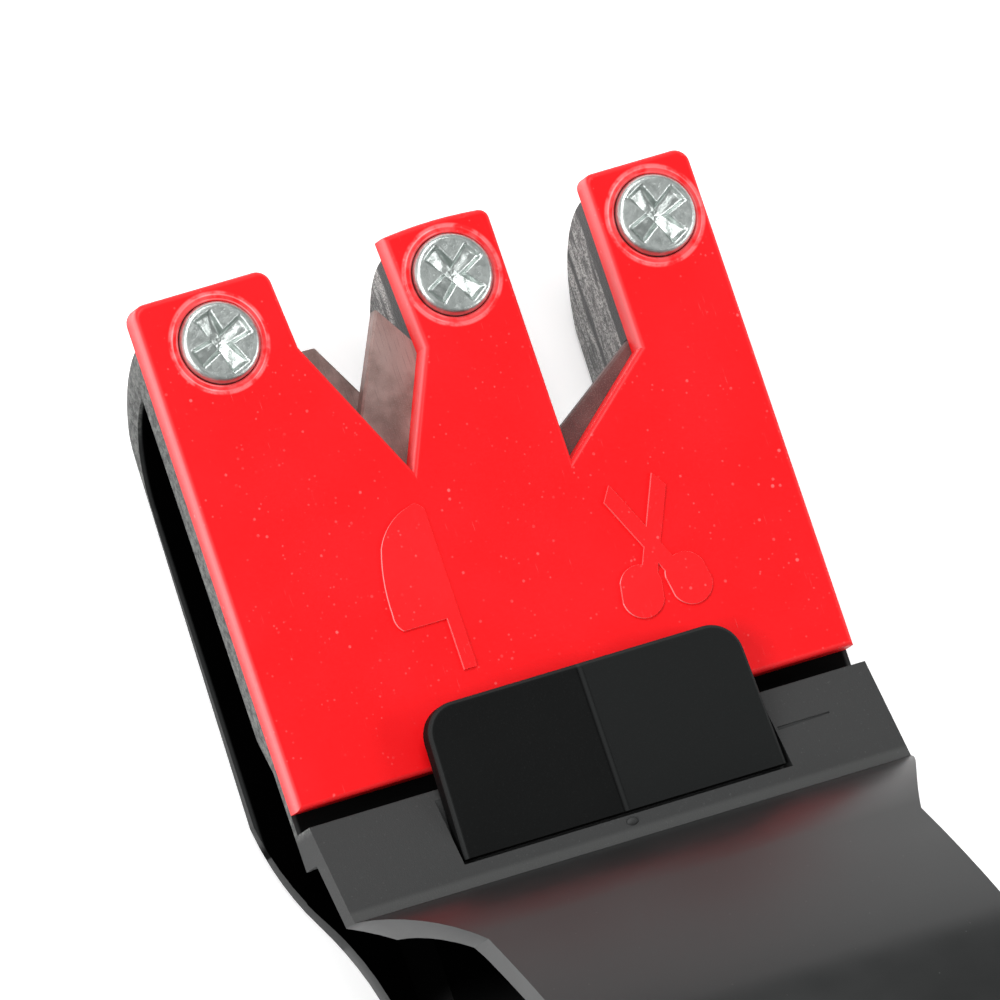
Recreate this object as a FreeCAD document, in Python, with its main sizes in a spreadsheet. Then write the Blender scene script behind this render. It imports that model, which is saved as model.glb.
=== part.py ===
import FreeCAD, Part
import math
import os
import re

import Sketcher

# Hand-held sharpener for knives and scissors, lying on its back.
# +X is across the head, +Y runs towards the prongs, +Z comes out of the face of the plate.
# Sizes with _x are measured from the plate's left edge, sizes with _down from its top edge,
# and sizes with _up from the surface that the tool rests on.

DIMENSIONS = {
    # the whole tool
    "overall_length": 146.7,
    "head_width": 51.2,
    "plate_face_up": 15.0,
    # red plate
    "plate_thickness": 2.4,
    "plate_length": 44.2,
    "plate_corner": 1.3,
    "plate_inner_corner": 0.9,
    "plate_edge": 0.5,
    "counterbore": 8.2,
    "counterbore_depth": 0.6,
    "icon_height": 0.25,
    "trim_margin": 1.0,
    # knife on the plate
    "knife_icon_handle_x": 17.65,
    "knife_icon_spine_x": 18.8,
    "knife_icon_end_down": 36.9,
    "knife_icon_spine_down": 23.0,
    "knife_icon_tip_x": 18.2,
    "knife_icon_tip_down": 22.4,
    "knife_icon_tip_radius": 5.2,
    "knife_icon_belly_x": 14.1,
    "knife_icon_belly_down": 25.3,
    "knife_icon_belly_radius": 16.0,
    "knife_icon_heel_x": 13.2,
    "knife_icon_heel_down": 30.9,
    "knife_icon_heel_radius": 1.6,
    "knife_icon_corner_x": 13.7,
    "knife_icon_corner_down": 32.4,
    # scissors on the plate
    "scissors_icon_x": 36.9,
    "scissors_icon_down": 31.4,
    "scissors_icon_turn": 25.0,
    "scissors_icon_half": 0.67,
    "scissors_icon_shank": 3.0,
    "scissors_icon_blade": 5.3,
    "scissors_icon_point": 6.1,
    "scissors_bow_apart": 2.15,
    "scissors_bow_down": 34.9,
    "scissors_bow_turn": 10.0,
    "scissors_bow_half": 1.8,
    "scissors_bow_side": 0.85,
    "scissors_bow_radius": 1.85,
    # pad behind the plate, along and across the rear blade
    "press_pad_start": 8.8,
    "press_pad_end": 13.4,
    "press_pad_low": 3.3,
    "press_pad_high": 4.7,
    # notch for knives
    "knife_left_x": 12.5,
    "knife_left_knee_x": 13.0,
    "knife_left_knee_down": 7.1,
    "knife_apex_x": 19.1,
    "knife_apex_down": 19.7,
    "knife_right_knee_x": 23.5,
    "knife_right_knee_down": 10.1,
    "knife_right_x": 23.05,
    # notch for scissors
    "scissors_left_x": 32.7,
    "scissors_apex_down": 22.6,
    "scissors_right_x": 41.6,
    "scissors_knee_down": 15.2,
    # top of the middle prong
    "crest_down": 0.3,
    "crest_radius": 40.0,
    # screws
    "screw_down": 4.9,
    "screw_left_x": 6.45,
    "screw_middle_x": 27.85,
    "screw_right_x": 46.6,
    "screw_head": 7.0,
    "screw_face": 6.1,
    "screw_head_height": 1.35,
    "screw_rim": 0.75,
    "screw_rim_radius": 0.9,
    "screw_shank": 3.5,
    "screw_length": 6.4,
    "screw_point": 2.2,
    "screw_point_tip": 0.8,
    "cross_span": 4.9,
    "cross_width": 1.4,
    "cross_depth": 1.0,
    "cross_taper": 12.0,
    "pilot_hole": 3.56,
    "pilot_depth": 4.85,
    "clearance_hole": 3.9,
    # carbide blades, all alike
    "blade_length": 15.0,
    "blade_width": 5.0,
    "blade_thickness": 1.5,
    "blade_end_angle": 60.0,
    "blade_land": 0.2,
    "seat_clearance": 0.05,
    "knife_front_x": 21.3,
    "knife_front_down": 5.6,
    "knife_front_turn": 242.8,
    "knife_rear_x": 23.0,
    "knife_rear_down": 20.2,
    "knife_rear_turn": 119.0,
    "scissors_blade_x": 43.6,
    "scissors_blade_down": 12.8,
    "scissors_blade_turn": 213.5,
    # head of the body
    "floor_thickness": 2.1,
    "nose_down": 1.62,
    "nose_end_down": 15.7,
    "nose_radius": 13.4,
    "nose_side_round": 3.2,
    "slot_play": 0.25,
    "crown_radius": 40.0,
    "crown_start_x": 5.8,
    "crown_end_x": 18.3,
    "crown_end_down": 58.7,
    "crown_overcut": 0.05,
    "rear_wall": 3.8,
    "rear_wall_low": 2.2,
    # side cavities of the head
    "cavity_start_down": 7.0,
    "cavity_turn_down": 16.2,
    "cavity_turn_radius": 9.5,
    "cavity_end_down": 55.0,
    "prong_cavity_half": 17.6,
    "deep_cavity_down": 25.7,
    "full_floor_down": 37.2,
    "thin_floor_down": 40.3,
    "thin_floor_up": 11.8,
    "web_half": 1.25,
    # collar below the plate, leaning forward
    "collar_down": 45.9,
    "collar_up": 16.0,
    "collar_end_down": 54.9,
    "collar_end_up": 19.2,
    "collar_thickness": 2.4,
    "collar_tab_down": 49.0,
    "relief_half": 16.5,
    "relief_start_down": 50.7,
    "relief_end_down": 62.7,
    "relief_end_up": 14.0,
    "relief_top_down": 57.7,
    "relief_top_up": 19.6,
    "mark_down": 49.2,
    "mark_width": 0.3,
    "mark_start_x": 41.5,
    "mark_end_x": 46.3,
    "mark_up": 17.05,
    # band that stands up from the collar and closes the loop
    "wall_radius": 28.0,
    "wall_end_down": 60.6,
    "wall_end_up": 33.0,
    "flare_radius": 150.0,
    "flare_down": 71.0,
    "flare_up": 45.1,
    "guard_top_down": 81.7,
    "guard_top_up": 49.5,
    "guard_top_radius": 14.0,
    "guard_far_down": 121.6,
    "guard_far_up": 47.0,
    "far_end_radius": 26.7,
    "far_turn_up": 20.4,
    "heel_radius": 20.4,
    # opening for the fingers
    "loop_start_down": 57.2,
    "loop_wall_up": 18.9,
    "loop_wall_radius": 25.7,
    "loop_wall_end_down": 62.4,
    "loop_wall_end_up": 31.6,
    "loop_flare_down": 72.7,
    "loop_flare_up": 43.5,
    "loop_flare_radius": 147.7,
    "loop_top_down": 81.7,
    "loop_top_up": 47.2,
    "loop_top_radius": 11.7,
    "loop_far_down": 121.4,
    "loop_far_up": 44.6,
    "loop_far_radius": 24.4,
    "loop_turn_down": 142.9,
    "loop_heel_radius": 9.8,
    "grip_up": 10.6,
    # widths of the band and the grip, half each
    "guard_half": 19.8,
    "arch_end_down": 60.6,
    "guard_arch_radius": 16.0,
    "waist_half": 17.0,
    "waist_down": 100.7,
    "end_half": 16.0,
    "end_corner": 9.0,
    "shoulder_down": 43.2,
    "neck_down": 61.7,
    "neck_half": 18.6,
    "shoulder_radius": 25.0,
    # recesses in the sides of the grip
    "cell_start_down": 62.2,
    "cell_length": 15.2,
    "cell_pitch": 17.2,
    "cell_count": 4.0,
    "cell_low_up": 2.3,
    "cell_high_up": 8.4,
    # clip tongue, bedded in the collar at its root
    "tongue_centre_x": 26.15,
    "tongue_width": 28.7,
    "tongue_root_width": 29.6,
    "tongue_top_down": 39.4,
    "tongue_root_down": 52.4,
    "tongue_up": 16.6,
    "tongue_thickness": 1.7,
    "tongue_corner": 2.8,
    "tongue_edge": 0.45,
    "tongue_bed_gap": 0.3,
    "tongue_root_gap": 0.4,
    "ridge_width": 0.45,
    "ridge_height": 0.08,
}

FRONT = "plate_face_up"
PLATE_BACK = "(plate_face_up - plate_thickness)"
FLOOR_BACK = "(plate_face_up - plate_thickness - floor_thickness)"
BLADE_UP = f"({PLATE_BACK} - seat_clearance - blade_thickness)"
REAR_BLADE_UP = f"({PLATE_BACK} - 3 * seat_clearance - 2 * blade_thickness)"
CLEAR_OF_EVERYTHING = "200"
BEYOND = "(0 - 2 * trim_margin)"
SAME = 1e-6
LEAST_CUT = 1e-3
NEARBY = 0.05
WORD = re.compile(r"[a-z]+(?:_[a-z]+)+|counterbore")

doc = FreeCAD.newDocument("sharpener")
sheet = doc.addObject("Spreadsheet::Sheet", "dims")
for row, (alias, value) in enumerate(DIMENSIONS.items(), start=1):
    sheet.set(f"A{row}", alias)
    sheet.set(f"B{row}", str(value))
    sheet.setAlias(f"B{row}", alias)
doc.recompute()


# ---------------------------------------------------------------- expressions and sketches
def across(name):
    """X of a size that is measured from the plate's left edge."""
    return f"(({name}) - head_width / 2)"


def down(name):
    """Y of a size that is measured down from the plate's top edge."""
    return f"(overall_length / 2 - ({name}))"


def bound(expression):
    """The expression with every alias looked up in the spreadsheet."""
    return WORD.sub(lambda word: "dims." + word.group(), expression)


def number(expression):
    return float(sheet.evalExpression(bound(expression)))


def plane_of(body, role):
    return next(plane for plane in body.Origin.OriginFeatures if plane.Role == role)


def place_sketch(body, name, role, lift="0", shift=None, turn=None):
    """An empty sketch on one of the body's origin planes, lifted, and shifted and turned in its plane."""
    sketch = body.newObject("Sketcher::SketchObject", name)
    sketch.AttachmentSupport = [(plane_of(body, role), "")]
    sketch.MapMode = "FlatFace"
    if turn:
        upright = FreeCAD.Vector(0, 0, 1)
        sketch.AttachmentOffset = FreeCAD.Placement(
            FreeCAD.Vector(), FreeCAD.Rotation(upright, number(turn))
        )
        sketch.setExpression("AttachmentOffset.Rotation.Angle", bound(turn))
    if shift:
        sketch.setExpression("AttachmentOffset.Base.x", bound(shift[0]))
        sketch.setExpression("AttachmentOffset.Base.y", bound(shift[1]))
    sketch.setExpression("AttachmentOffset.Base.z", bound(lift))
    return sketch


def arc_between(start, end, radius, turn):
    """The short arc from start to end; turn is 1 to the left and -1 to the right."""
    chord = end - start
    rise = math.sqrt(radius**2 - (chord.Length / 2) ** 2)
    left = FreeCAD.Vector(-chord.y, chord.x, 0).normalize()
    centre = start + chord * 0.5 + left * (rise * turn)
    first, last = (start, end) if turn > 0 else (end, start)
    circle = Part.Circle(centre, FreeCAD.Vector(0, 0, 1), radius)
    angles = [math.atan2(p.y - centre.y, p.x - centre.x) for p in (first, last)]
    return Part.ArcOfCircle(circle, *angles)


def closed_outline(sketch, points):
    """Draws a closed outline. A point is (u, v), or (u, v, radius, turn) where an arc leads to the next."""
    spots = [FreeCAD.Vector(number(p[0]), number(p[1]), 0) for p in points]
    ends = []
    for index, point in enumerate(points):
        start, end = spots[index], spots[(index + 1) % len(points)]
        if len(point) == 2:
            sketch.addGeometry(Part.LineSegment(start, end))
            ends.append((1, 2))
        else:
            sketch.addGeometry(arc_between(start, end, number(point[2]), point[3]))
            ends.append((1, 2) if point[3] > 0 else (2, 1))
    for index, point in enumerate(points):
        after = (index + 1) % len(points)
        sketch.addConstraint(
            Sketcher.Constraint("Coincident", index, ends[index][1], after, ends[after][0])
        )
        spot = ends[index][0]
        for kind, expression in (("DistanceX", point[0]), ("DistanceY", point[1])):
            rule = Sketcher.Constraint(kind, index, spot, number(expression))
            bind(sketch, rule, expression)
        if len(point) == 4:
            bind(sketch, Sketcher.Constraint("Radius", index, number(point[2])), point[2])
    return sketch


def bind(sketch, rule, expression):
    place = sketch.addConstraint(rule)
    sketch.setExpression(f"Constraints[{place}]", bound(expression))


def circle_outline(sketch, u, v, diameter):
    centre = FreeCAD.Vector(number(u), number(v), 0)
    index = sketch.addGeometry(Part.Circle(centre, FreeCAD.Vector(0, 0, 1), number(diameter) / 2))
    bind(sketch, Sketcher.Constraint("DistanceX", index, 3, number(u)), u)
    bind(sketch, Sketcher.Constraint("DistanceY", index, 3, number(v)), v)
    bind(sketch, Sketcher.Constraint("Diameter", index, number(diameter)), diameter)
    return sketch


# ---------------------------------------------------------------- features
def new_body(label):
    body = doc.addObject("PartDesign::Body", label)
    body.Label = label
    return body


def pad(body, sketch, length, both_ways=False, reverse=False):
    feature = body.newObject("PartDesign::Pad", sketch.Name + "_pad")
    feature.Profile = sketch
    feature.SideType = "Symmetric" if both_ways else "One side"
    feature.Reversed = reverse
    feature.setExpression("Length", bound(length))
    doc.recompute()
    return feature


def pocket(body, sketch, length, both_ways=False, reverse=False, taper=None):
    """Cuts the sketch away, and stops if nothing was cut."""
    before = body.Shape.Volume
    feature = body.newObject("PartDesign::Pocket", sketch.Name + "_pocket")
    feature.Profile = sketch
    feature.SideType = "Symmetric" if both_ways else "One side"
    feature.Reversed = reverse
    feature.setExpression("Length", bound(length))
    if taper:
        feature.setExpression("TaperAngle", bound(taper))
    doc.recompute()
    if not feature.Shape.Volume < before - LEAST_CUT:
        raise RuntimeError(f"{feature.Name} cut nothing")
    return feature


def dress(body, kind, size, chosen):
    """Rounds or bevels the edges of the body that chosen picks, and returns how many there were."""
    base = body.Tip
    names = [f"Edge{i}" for i, edge in enumerate(base.Shape.Edges, start=1) if chosen(edge)]
    if not names:
        raise RuntimeError(f"no edges to dress on {body.Label}")
    feature = body.newObject("PartDesign::" + kind, f"{base.Name}_{kind.lower()}")
    feature.Base = (base, names)
    feature.setExpression("Radius" if kind == "Fillet" else "Size", bound(size))
    doc.recompute()
    return feature


def is_upright(edge):
    """True for a straight edge along Z."""
    if not isinstance(edge.Curve, Part.Line):
        return False
    return abs(edge.tangentAt(edge.FirstParameter).z) > 1 - SAME


def passes(edge, x, y):
    middle = edge.CenterOfMass
    return abs(middle.x - number(x)) < NEARBY and abs(middle.y - number(y)) < NEARBY


# ---------------------------------------------------------------- shapes that pieces share
def knife_notch(play="0", top_down=BEYOND):
    """The left V, open at the top, from its right mouth round to its left mouth."""
    return [
        (across(f"knife_right_x + {play}"), down(top_down)),
        (across(f"knife_left_x - {play}"), down(top_down)),
        (across(f"knife_left_knee_x - {play}"), down("knife_left_knee_down")),
        (across("knife_apex_x"), down(f"(knife_apex_down + 2 * {play})")),
        (across(f"knife_right_knee_x + {play}"), down("knife_right_knee_down")),
    ]


def scissors_notch(play="0", top_down=BEYOND):
    """The right half V, with one straight side."""
    return [
        (across(f"scissors_right_x + {play}"), down(top_down)),
        (across(f"scissors_left_x - {play}"), down(top_down)),
        (across(f"scissors_left_x - {play}"), down(f"(scissors_apex_down + 2 * {play})")),
        (across(f"scissors_right_x + {play}"), down(f"(scissors_knee_down + {play})")),
    ]


def blade_outline(play="0"):
    """A parallelogram with its cutting edge on the u axis."""
    lean = "tan(blade_end_angle * 1deg)"
    end = f"{play} / sin(blade_end_angle * 1deg)"
    low, high = f"(-{play})", f"(blade_width + {play})"
    return [
        (f"{low} / {lean} - {end}", low),
        (f"blade_length + {low} / {lean} + {end}", low),
        (f"blade_length + {high} / {lean} + {end}", high),
        (f"{high} / {lean} - {end}", high),
    ]


BLADES = {
    "knife_blade_front": ("knife_front", BLADE_UP),
    "knife_blade_rear": ("knife_rear", REAR_BLADE_UP),
    "scissors_blade": ("scissors_blade", BLADE_UP),
}
SCREWS = {"left": 20.0, "middle": 34.0, "right": 28.0}
SIDES = {"left": -1, "right": 1}


# ---------------------------------------------------------------- body moulding
def body_moulding():
    body = new_body("body_moulding")
    outer = closed_outline(
        place_sketch(body, "side_profile", "YZ_Plane"),
        [
            (down("nose_end_down"), "0", "nose_radius", 1),
            (down("nose_down"), PLATE_BACK),
            (down("collar_down"), PLATE_BACK),
            (down("collar_down"), "collar_up"),
            (down("collar_end_down"), "collar_end_up", "wall_radius", 1),
            (down("wall_end_down"), "wall_end_up", "flare_radius", 1),
            (down("flare_down"), "flare_up", "guard_top_radius", 1),
            (down("guard_top_down"), "guard_top_up"),
            (down("guard_far_down"), "guard_far_up", "far_end_radius", 1),
            (down("overall_length"), "far_turn_up", "heel_radius", 1),
            (down("(overall_length - heel_radius)"), "0"),
        ],
    )
    pad(body, outer, "head_width", both_ways=True)
    loop = closed_outline(
        place_sketch(body, "finger_loop", "YZ_Plane"),
        [
            (down("loop_start_down"), "grip_up"),
            (down("loop_start_down"), "loop_wall_up", "loop_wall_radius", 1),
            (down("loop_wall_end_down"), "loop_wall_end_up", "loop_flare_radius", 1),
            (down("loop_flare_down"), "loop_flare_up", "loop_top_radius", 1),
            (down("loop_top_down"), "loop_top_up"),
            (down("loop_far_down"), "loop_far_up", "loop_far_radius", 1),
            (down("loop_turn_down"), "far_turn_up", "loop_heel_radius", 1),
            (down("(loop_turn_down - loop_heel_radius)"), "grip_up"),
        ],
    )
    pocket(body, loop, CLEAR_OF_EVERYTHING, both_ways=True)
    for side, sign in SIDES.items():
        trim_guard(body, side, sign)
        trim_grip(body, side, sign)
        crown(body, side, sign)
    notches = {"knife_slot": knife_notch("slot_play"), "scissors_slot": scissors_notch("slot_play")}
    for name, points in notches.items():
        pocket(body, closed_outline(place_sketch(body, name, "XY_Plane"), points),
               CLEAR_OF_EVERYTHING, both_ways=True)
    round_the_nose(body)
    for side, sign in SIDES.items():
        hollow_the_head(body, side, sign)
        relieve_the_collar(body, side, sign)
        hollow_the_grip(body, side, sign)
    bed_the_tongue(body)
    for name, (where, up) in BLADES.items():
        seat = place_sketch(body, name + "_seat", "XY_Plane", f"{up} - seat_clearance",
                            (across(where + "_x"), down(where + "_down")), where + "_turn")
        pocket(body, closed_outline(seat, blade_outline("seat_clearance")),
               "2 * blade_thickness + 4 * seat_clearance", reverse=True)
    for where in SCREWS:
        hole = place_sketch(body, f"pilot_hole_{where}", "XY_Plane", PLATE_BACK)
        circle_outline(hole, across(f"screw_{where}_x"), down("screw_down"), "pilot_hole")
        pocket(body, hole, "pilot_depth")
    return body


def mirrored(points, sign):
    """The points as given for +X, or swapped to -X."""
    if sign > 0:
        return points
    turned = []
    for index, point in enumerate(points):
        before = points[index - 1]
        arc = (before[2], before[3]) if len(before) == 4 else ()
        turned.append((f"-({point[0]})", point[1], *arc))
    return [turned[0]] + turned[:0:-1]


def trim_guard(body, side, sign):
    """Takes the finger band in from the head's width, with an arch under the collar."""
    outside = "(head_width / 2 + trim_margin)"
    points = [
        (outside, down("collar_end_down")),
        ("head_width / 2", down("collar_end_down"), "guard_arch_radius", 1),
        ("guard_half", down("arch_end_down")),
        ("guard_half", down("flare_down")),
        ("waist_half", down("waist_down")),
        ("end_half", down("(overall_length - end_corner)"), "end_corner", -1),
        ("(end_half - end_corner)", down("overall_length + trim_margin")),
        (outside, down("overall_length + trim_margin")),
    ]
    sketch = place_sketch(body, f"guard_trim_{side}", "XY_Plane", FLOOR_BACK)
    pocket(body, closed_outline(sketch, mirrored(points, sign)), CLEAR_OF_EVERYTHING, reverse=True)


def trim_grip(body, side, sign):
    """Takes the rear wall in below the head, along a shoulder and a neck."""
    outside = "(head_width / 2 + trim_margin)"
    middle_half = "((head_width / 2 + neck_half) / 2)"
    middle_down = "((shoulder_down + neck_down) / 2)"
    points = [
        (outside, down("shoulder_down")),
        ("head_width / 2", down("shoulder_down"), "shoulder_radius", -1),
        (middle_half, down(middle_down), "shoulder_radius", 1),
        ("neck_half", down("neck_down")),
        ("waist_half", down("waist_down")),
        ("end_half", down("(overall_length - end_corner)"), "end_corner", -1),
        ("(end_half - end_corner)", down("overall_length + trim_margin")),
        (outside, down("overall_length + trim_margin")),
    ]
    sketch = place_sketch(body, f"grip_trim_{side}", "XY_Plane", FLOOR_BACK)
    pocket(body, closed_outline(sketch, mirrored(points, sign)), CLEAR_OF_EVERYTHING)


def crown(body, side, sign):
    """Curves the back of the head towards its sides, more at the nose than at the neck."""
    sections = []
    for end, half, where in (
        ("nose", "crown_start_x", "(0 - trim_margin)"),
        ("neck", "crown_end_x", "crown_end_down"),
    ):
        outside = "(head_width / 2 + trim_margin)"
        rise = f"(pow({outside} - {half}; 2) / (2 * crown_radius) - crown_overcut)"
        points = [
            (half, "-crown_overcut", "crown_radius", 1),
            (outside, rise),
            (outside, BEYOND),
            (half, BEYOND),
        ]
        lift = f"-{down(where)}"
        sketch = place_sketch(body, f"crown_{end}_{side}", "XZ_Plane", lift)
        sections.append(closed_outline(sketch, mirrored(points, sign)))
    doc.recompute()
    before = body.Shape.Volume
    loft = body.newObject("PartDesign::SubtractiveLoft", f"crown_{side}")
    loft.Profile = sections[0]
    loft.Sections = sections[1:]
    loft.Ruled = True
    doc.recompute()
    if not loft.Shape.Volume < before - LEAST_CUT:
        raise RuntimeError(f"the crown on the {side} cut nothing")


def round_the_nose(body):
    """Rounds the edges where the back of the prongs meets their sides."""
    half = number("head_width / 2")
    limit = number(down("nose_end_down"))
    back = number(PLATE_BACK)

    def on_the_nose(edge):
        middle = edge.CenterOfMass
        curved = not isinstance(edge.Curve, Part.Line)
        return curved and middle.y > limit and middle.z < back - NEARBY

    dress(body, "Fillet", "nose_side_round",
          lambda edge: on_the_nose(edge) and abs(abs(edge.CenterOfMass.x) - half) < NEARBY)


def hollow_the_head(body, side, sign):
    """The cavity that a side core leaves between the plate's floor and the rear wall."""
    floor = [
        (down("full_floor_down"), FLOOR_BACK),
        (down("thin_floor_down"), "thin_floor_up"),
        (down("cavity_end_down"), "thin_floor_up"),
        (down("cavity_end_down"), "rear_wall_low"),
    ]
    nose = [
        (down("cavity_start_down"), FLOOR_BACK),
        *floor,
        (down("cavity_turn_down"), "rear_wall", "cavity_turn_radius", 1),
    ]
    deep = [
        (down("deep_cavity_down"), FLOOR_BACK),
        *floor,
        (down("deep_cavity_down"), "rear_wall"),
    ]
    for name, points, inner in (("cavity", nose, "prong_cavity_half"), ("deep", deep, "web_half")):
        sketch = place_sketch(body, f"{name}_{side}", "YZ_Plane", f"{sign} * {inner}")
        pocket(body, closed_outline(sketch, points), "head_width", reverse=sign > 0)


def relieve_the_collar(body, side, sign):
    """Thins the ends of the collar from behind, and opens the cavity into the finger loop."""
    back_up = "(collar_end_up - collar_thickness)"
    rise = "(collar_end_up - collar_up) / (collar_end_down - collar_down)"
    tab_up = f"({back_up} - (collar_end_down - collar_tab_down) * {rise})"
    points = [
        (down("collar_tab_down"), "rear_wall"),
        (down("collar_tab_down"), tab_up),
        (down("collar_end_down"), back_up),
        (down("relief_top_down"), "relief_top_up"),
        (down("relief_end_down"), "relief_end_up"),
        (down("relief_end_down"), "rear_wall_low"),
        (down("relief_start_down"), "rear_wall_low"),
    ]
    sketch = place_sketch(body, f"collar_relief_{side}", "YZ_Plane", f"{sign} * relief_half")
    pocket(body, closed_outline(sketch, points), "head_width", reverse=sign > 0)


def bed_the_tongue(body):
    """The recess for the tongue's root, and the short witness line beside it."""
    half = "(tongue_root_width / 2 + tongue_bed_gap)"
    middle = across("tongue_centre_x")
    bed = [
        (f"({middle} - {half})", down("(tongue_root_down + tongue_root_gap)")),
        (f"({middle} + {half})", down("(tongue_root_down + tongue_root_gap)")),
        (f"({middle} + {half})", down("(collar_down - trim_margin)")),
        (f"({middle} - {half})", down("(collar_down - trim_margin)")),
    ]
    sketch = place_sketch(body, "tongue_bed", "XY_Plane", "(tongue_up - tongue_bed_gap)")
    pocket(body, closed_outline(sketch, bed), "2 * tongue_thickness", reverse=True)
    mark = [
        (across("mark_start_x"), down("(mark_down + mark_width)")),
        (across("mark_end_x"), down("(mark_down + mark_width / 2)")),
        (across("mark_end_x"), down("mark_down")),
        (across("mark_start_x"), down("mark_down")),
    ]
    sketch = place_sketch(body, "witness_mark", "XY_Plane", "mark_up")
    pocket(body, closed_outline(sketch, mark), "tongue_thickness", reverse=True)


def hollow_the_grip(body, side, sign):
    """A row of recesses along the side of the grip, with ribs between them."""
    end = "(cell_start_down + cell_length)"
    points = [
        (down("cell_start_down"), "cell_high_up"),
        (down(end), "cell_high_up"),
        (down(end), "cell_low_up"),
        (down("cell_start_down"), "cell_low_up"),
    ]
    sketch = place_sketch(body, f"cell_{side}", "YZ_Plane", f"{sign} * web_half")
    cell = pocket(body, closed_outline(sketch, points), "head_width", reverse=sign > 0)
    row = body.newObject("PartDesign::LinearPattern", f"cells_{side}")
    row.Originals = [cell]
    row.Direction = (sketch, ["H_Axis"])
    row.Reversed = True
    row.Occurrences = int(number("cell_count"))
    row.setExpression("Length", bound("cell_pitch * (cell_count - 1)"))
    body.Tip = row
    doc.recompute()


# ---------------------------------------------------------------- plate, blades, screws, tongue
def front_plate():
    body = new_body("front_plate")
    outline = [
        ("-head_width / 2", down("plate_length")),
        ("head_width / 2", down("plate_length")),
        ("head_width / 2", down("0")),
        (across("scissors_right_x"), down("0")),
        (across("scissors_right_x"), down("scissors_knee_down")),
        (across("scissors_left_x"), down("scissors_apex_down")),
        (across("scissors_left_x"), down("crest_down"), "crest_radius", 1),
        (across("knife_right_x"), down("crest_down")),
        (across("knife_right_knee_x"), down("knife_right_knee_down")),
        (across("knife_apex_x"), down("knife_apex_down")),
        (across("knife_left_knee_x"), down("knife_left_knee_down")),
        (across("knife_left_x"), down("0")),
        ("-head_width / 2", down("0")),
    ]
    sketch = place_sketch(body, "plate_outline", "XY_Plane", PLATE_BACK)
    pad(body, closed_outline(sketch, outline), "plate_thickness")
    wide = [("-head_width / 2", "0"), ("head_width / 2", "0"), (across("knife_left_x"), "0")]
    tight = [(across("scissors_right_x"), "0"), (across("scissors_left_x"), "crest_down")]
    for corners, radius in ((wide, "plate_corner"), (tight, "plate_inner_corner")):
        dress(body, "Fillet", radius, lambda edge: is_upright(edge) and any(
            passes(edge, x, down(d)) for x, d in corners))
    face = number(FRONT)
    dress(body, "Fillet", "plate_edge", lambda edge: all(
        abs(v.Z - face) < SAME for v in edge.Vertexes))
    for where in SCREWS:
        spot = across(f"screw_{where}_x"), down("screw_down")
        bore = place_sketch(body, f"counterbore_{where}", "XY_Plane", FRONT)
        pocket(body, circle_outline(bore, *spot, "counterbore"), "counterbore_depth")
        hole = place_sketch(body, f"clearance_hole_{where}", "XY_Plane", FRONT)
        pocket(body, circle_outline(hole, *spot, "clearance_hole"), "2 * plate_thickness")
    raise_icons(body)
    press_pad(body)
    return body


def raise_icons(body):
    """A kitchen knife and a pair of scissors, raised a little from the face of the plate."""
    sunk = f"({FRONT} - icon_height)"
    knife = [
        (across("knife_icon_handle_x"), down("knife_icon_end_down")),
        (across("knife_icon_spine_x"), down("knife_icon_end_down")),
        (across("knife_icon_spine_x"), down("knife_icon_spine_down")),
        (across("knife_icon_tip_x"), down("knife_icon_tip_down"), "knife_icon_tip_radius", 1),
        (across("knife_icon_belly_x"), down("knife_icon_belly_down"), "knife_icon_belly_radius", 1),
        (across("knife_icon_heel_x"), down("knife_icon_heel_down"), "knife_icon_heel_radius", 1),
        (across("knife_icon_corner_x"), down("knife_icon_corner_down")),
        (across("knife_icon_handle_x"), down("knife_icon_corner_down")),
    ]
    sketch = place_sketch(body, "knife_icon", "XY_Plane", sunk)
    pad(body, closed_outline(sketch, knife), "2 * icon_height")
    half = "scissors_icon_half"
    bow_half, bow_side = "scissors_bow_half", "scissors_bow_side"
    bow = [
        (bow_half, f"-{bow_side}"),
        (bow_half, bow_side, "scissors_bow_radius", 1),
        (f"-{bow_half}", bow_side),
        (f"-{bow_half}", f"-{bow_side}", "scissors_bow_radius", 1),
    ]
    crossing = (across("scissors_icon_x"), down("scissors_icon_down"))
    for side, sign in SIDES.items():
        ends = {-sign: "scissors_icon_blade", sign: "scissors_icon_point"}
        blade = [
            (f"-{half}", "-scissors_icon_shank"),
            (half, "-scissors_icon_shank"),
            (half, ends[1]),
            (f"-{half}", ends[-1]),
        ]
        arm = place_sketch(body, f"scissors_arm_{side}", "XY_Plane", sunk, crossing,
                           f"({sign} * scissors_icon_turn)")
        pad(body, closed_outline(arm, blade), "2 * icon_height")
        middle = (across(f"(scissors_icon_x + {sign} * scissors_bow_apart)"), down("scissors_bow_down"))
        ring = place_sketch(body, f"scissors_bow_{side}", "XY_Plane", sunk, middle,
                            f"({sign} * scissors_bow_turn)")
        pad(body, closed_outline(ring, bow), "2 * icon_height")


def press_pad(body):
    """The pad behind the plate that holds the rear blade down in its deeper seat."""
    shift = (across("knife_rear_x"), down("knife_rear_down"))
    sketch = place_sketch(body, "press_pad", "XY_Plane", PLATE_BACK, shift, "knife_rear_turn")
    points = [
        ("press_pad_start", "press_pad_low"),
        ("press_pad_end", "press_pad_low"),
        ("press_pad_end", "press_pad_high"),
        ("press_pad_start", "press_pad_high"),
    ]
    pad(body, closed_outline(sketch, points), "blade_thickness + seat_clearance", reverse=True)


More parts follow.
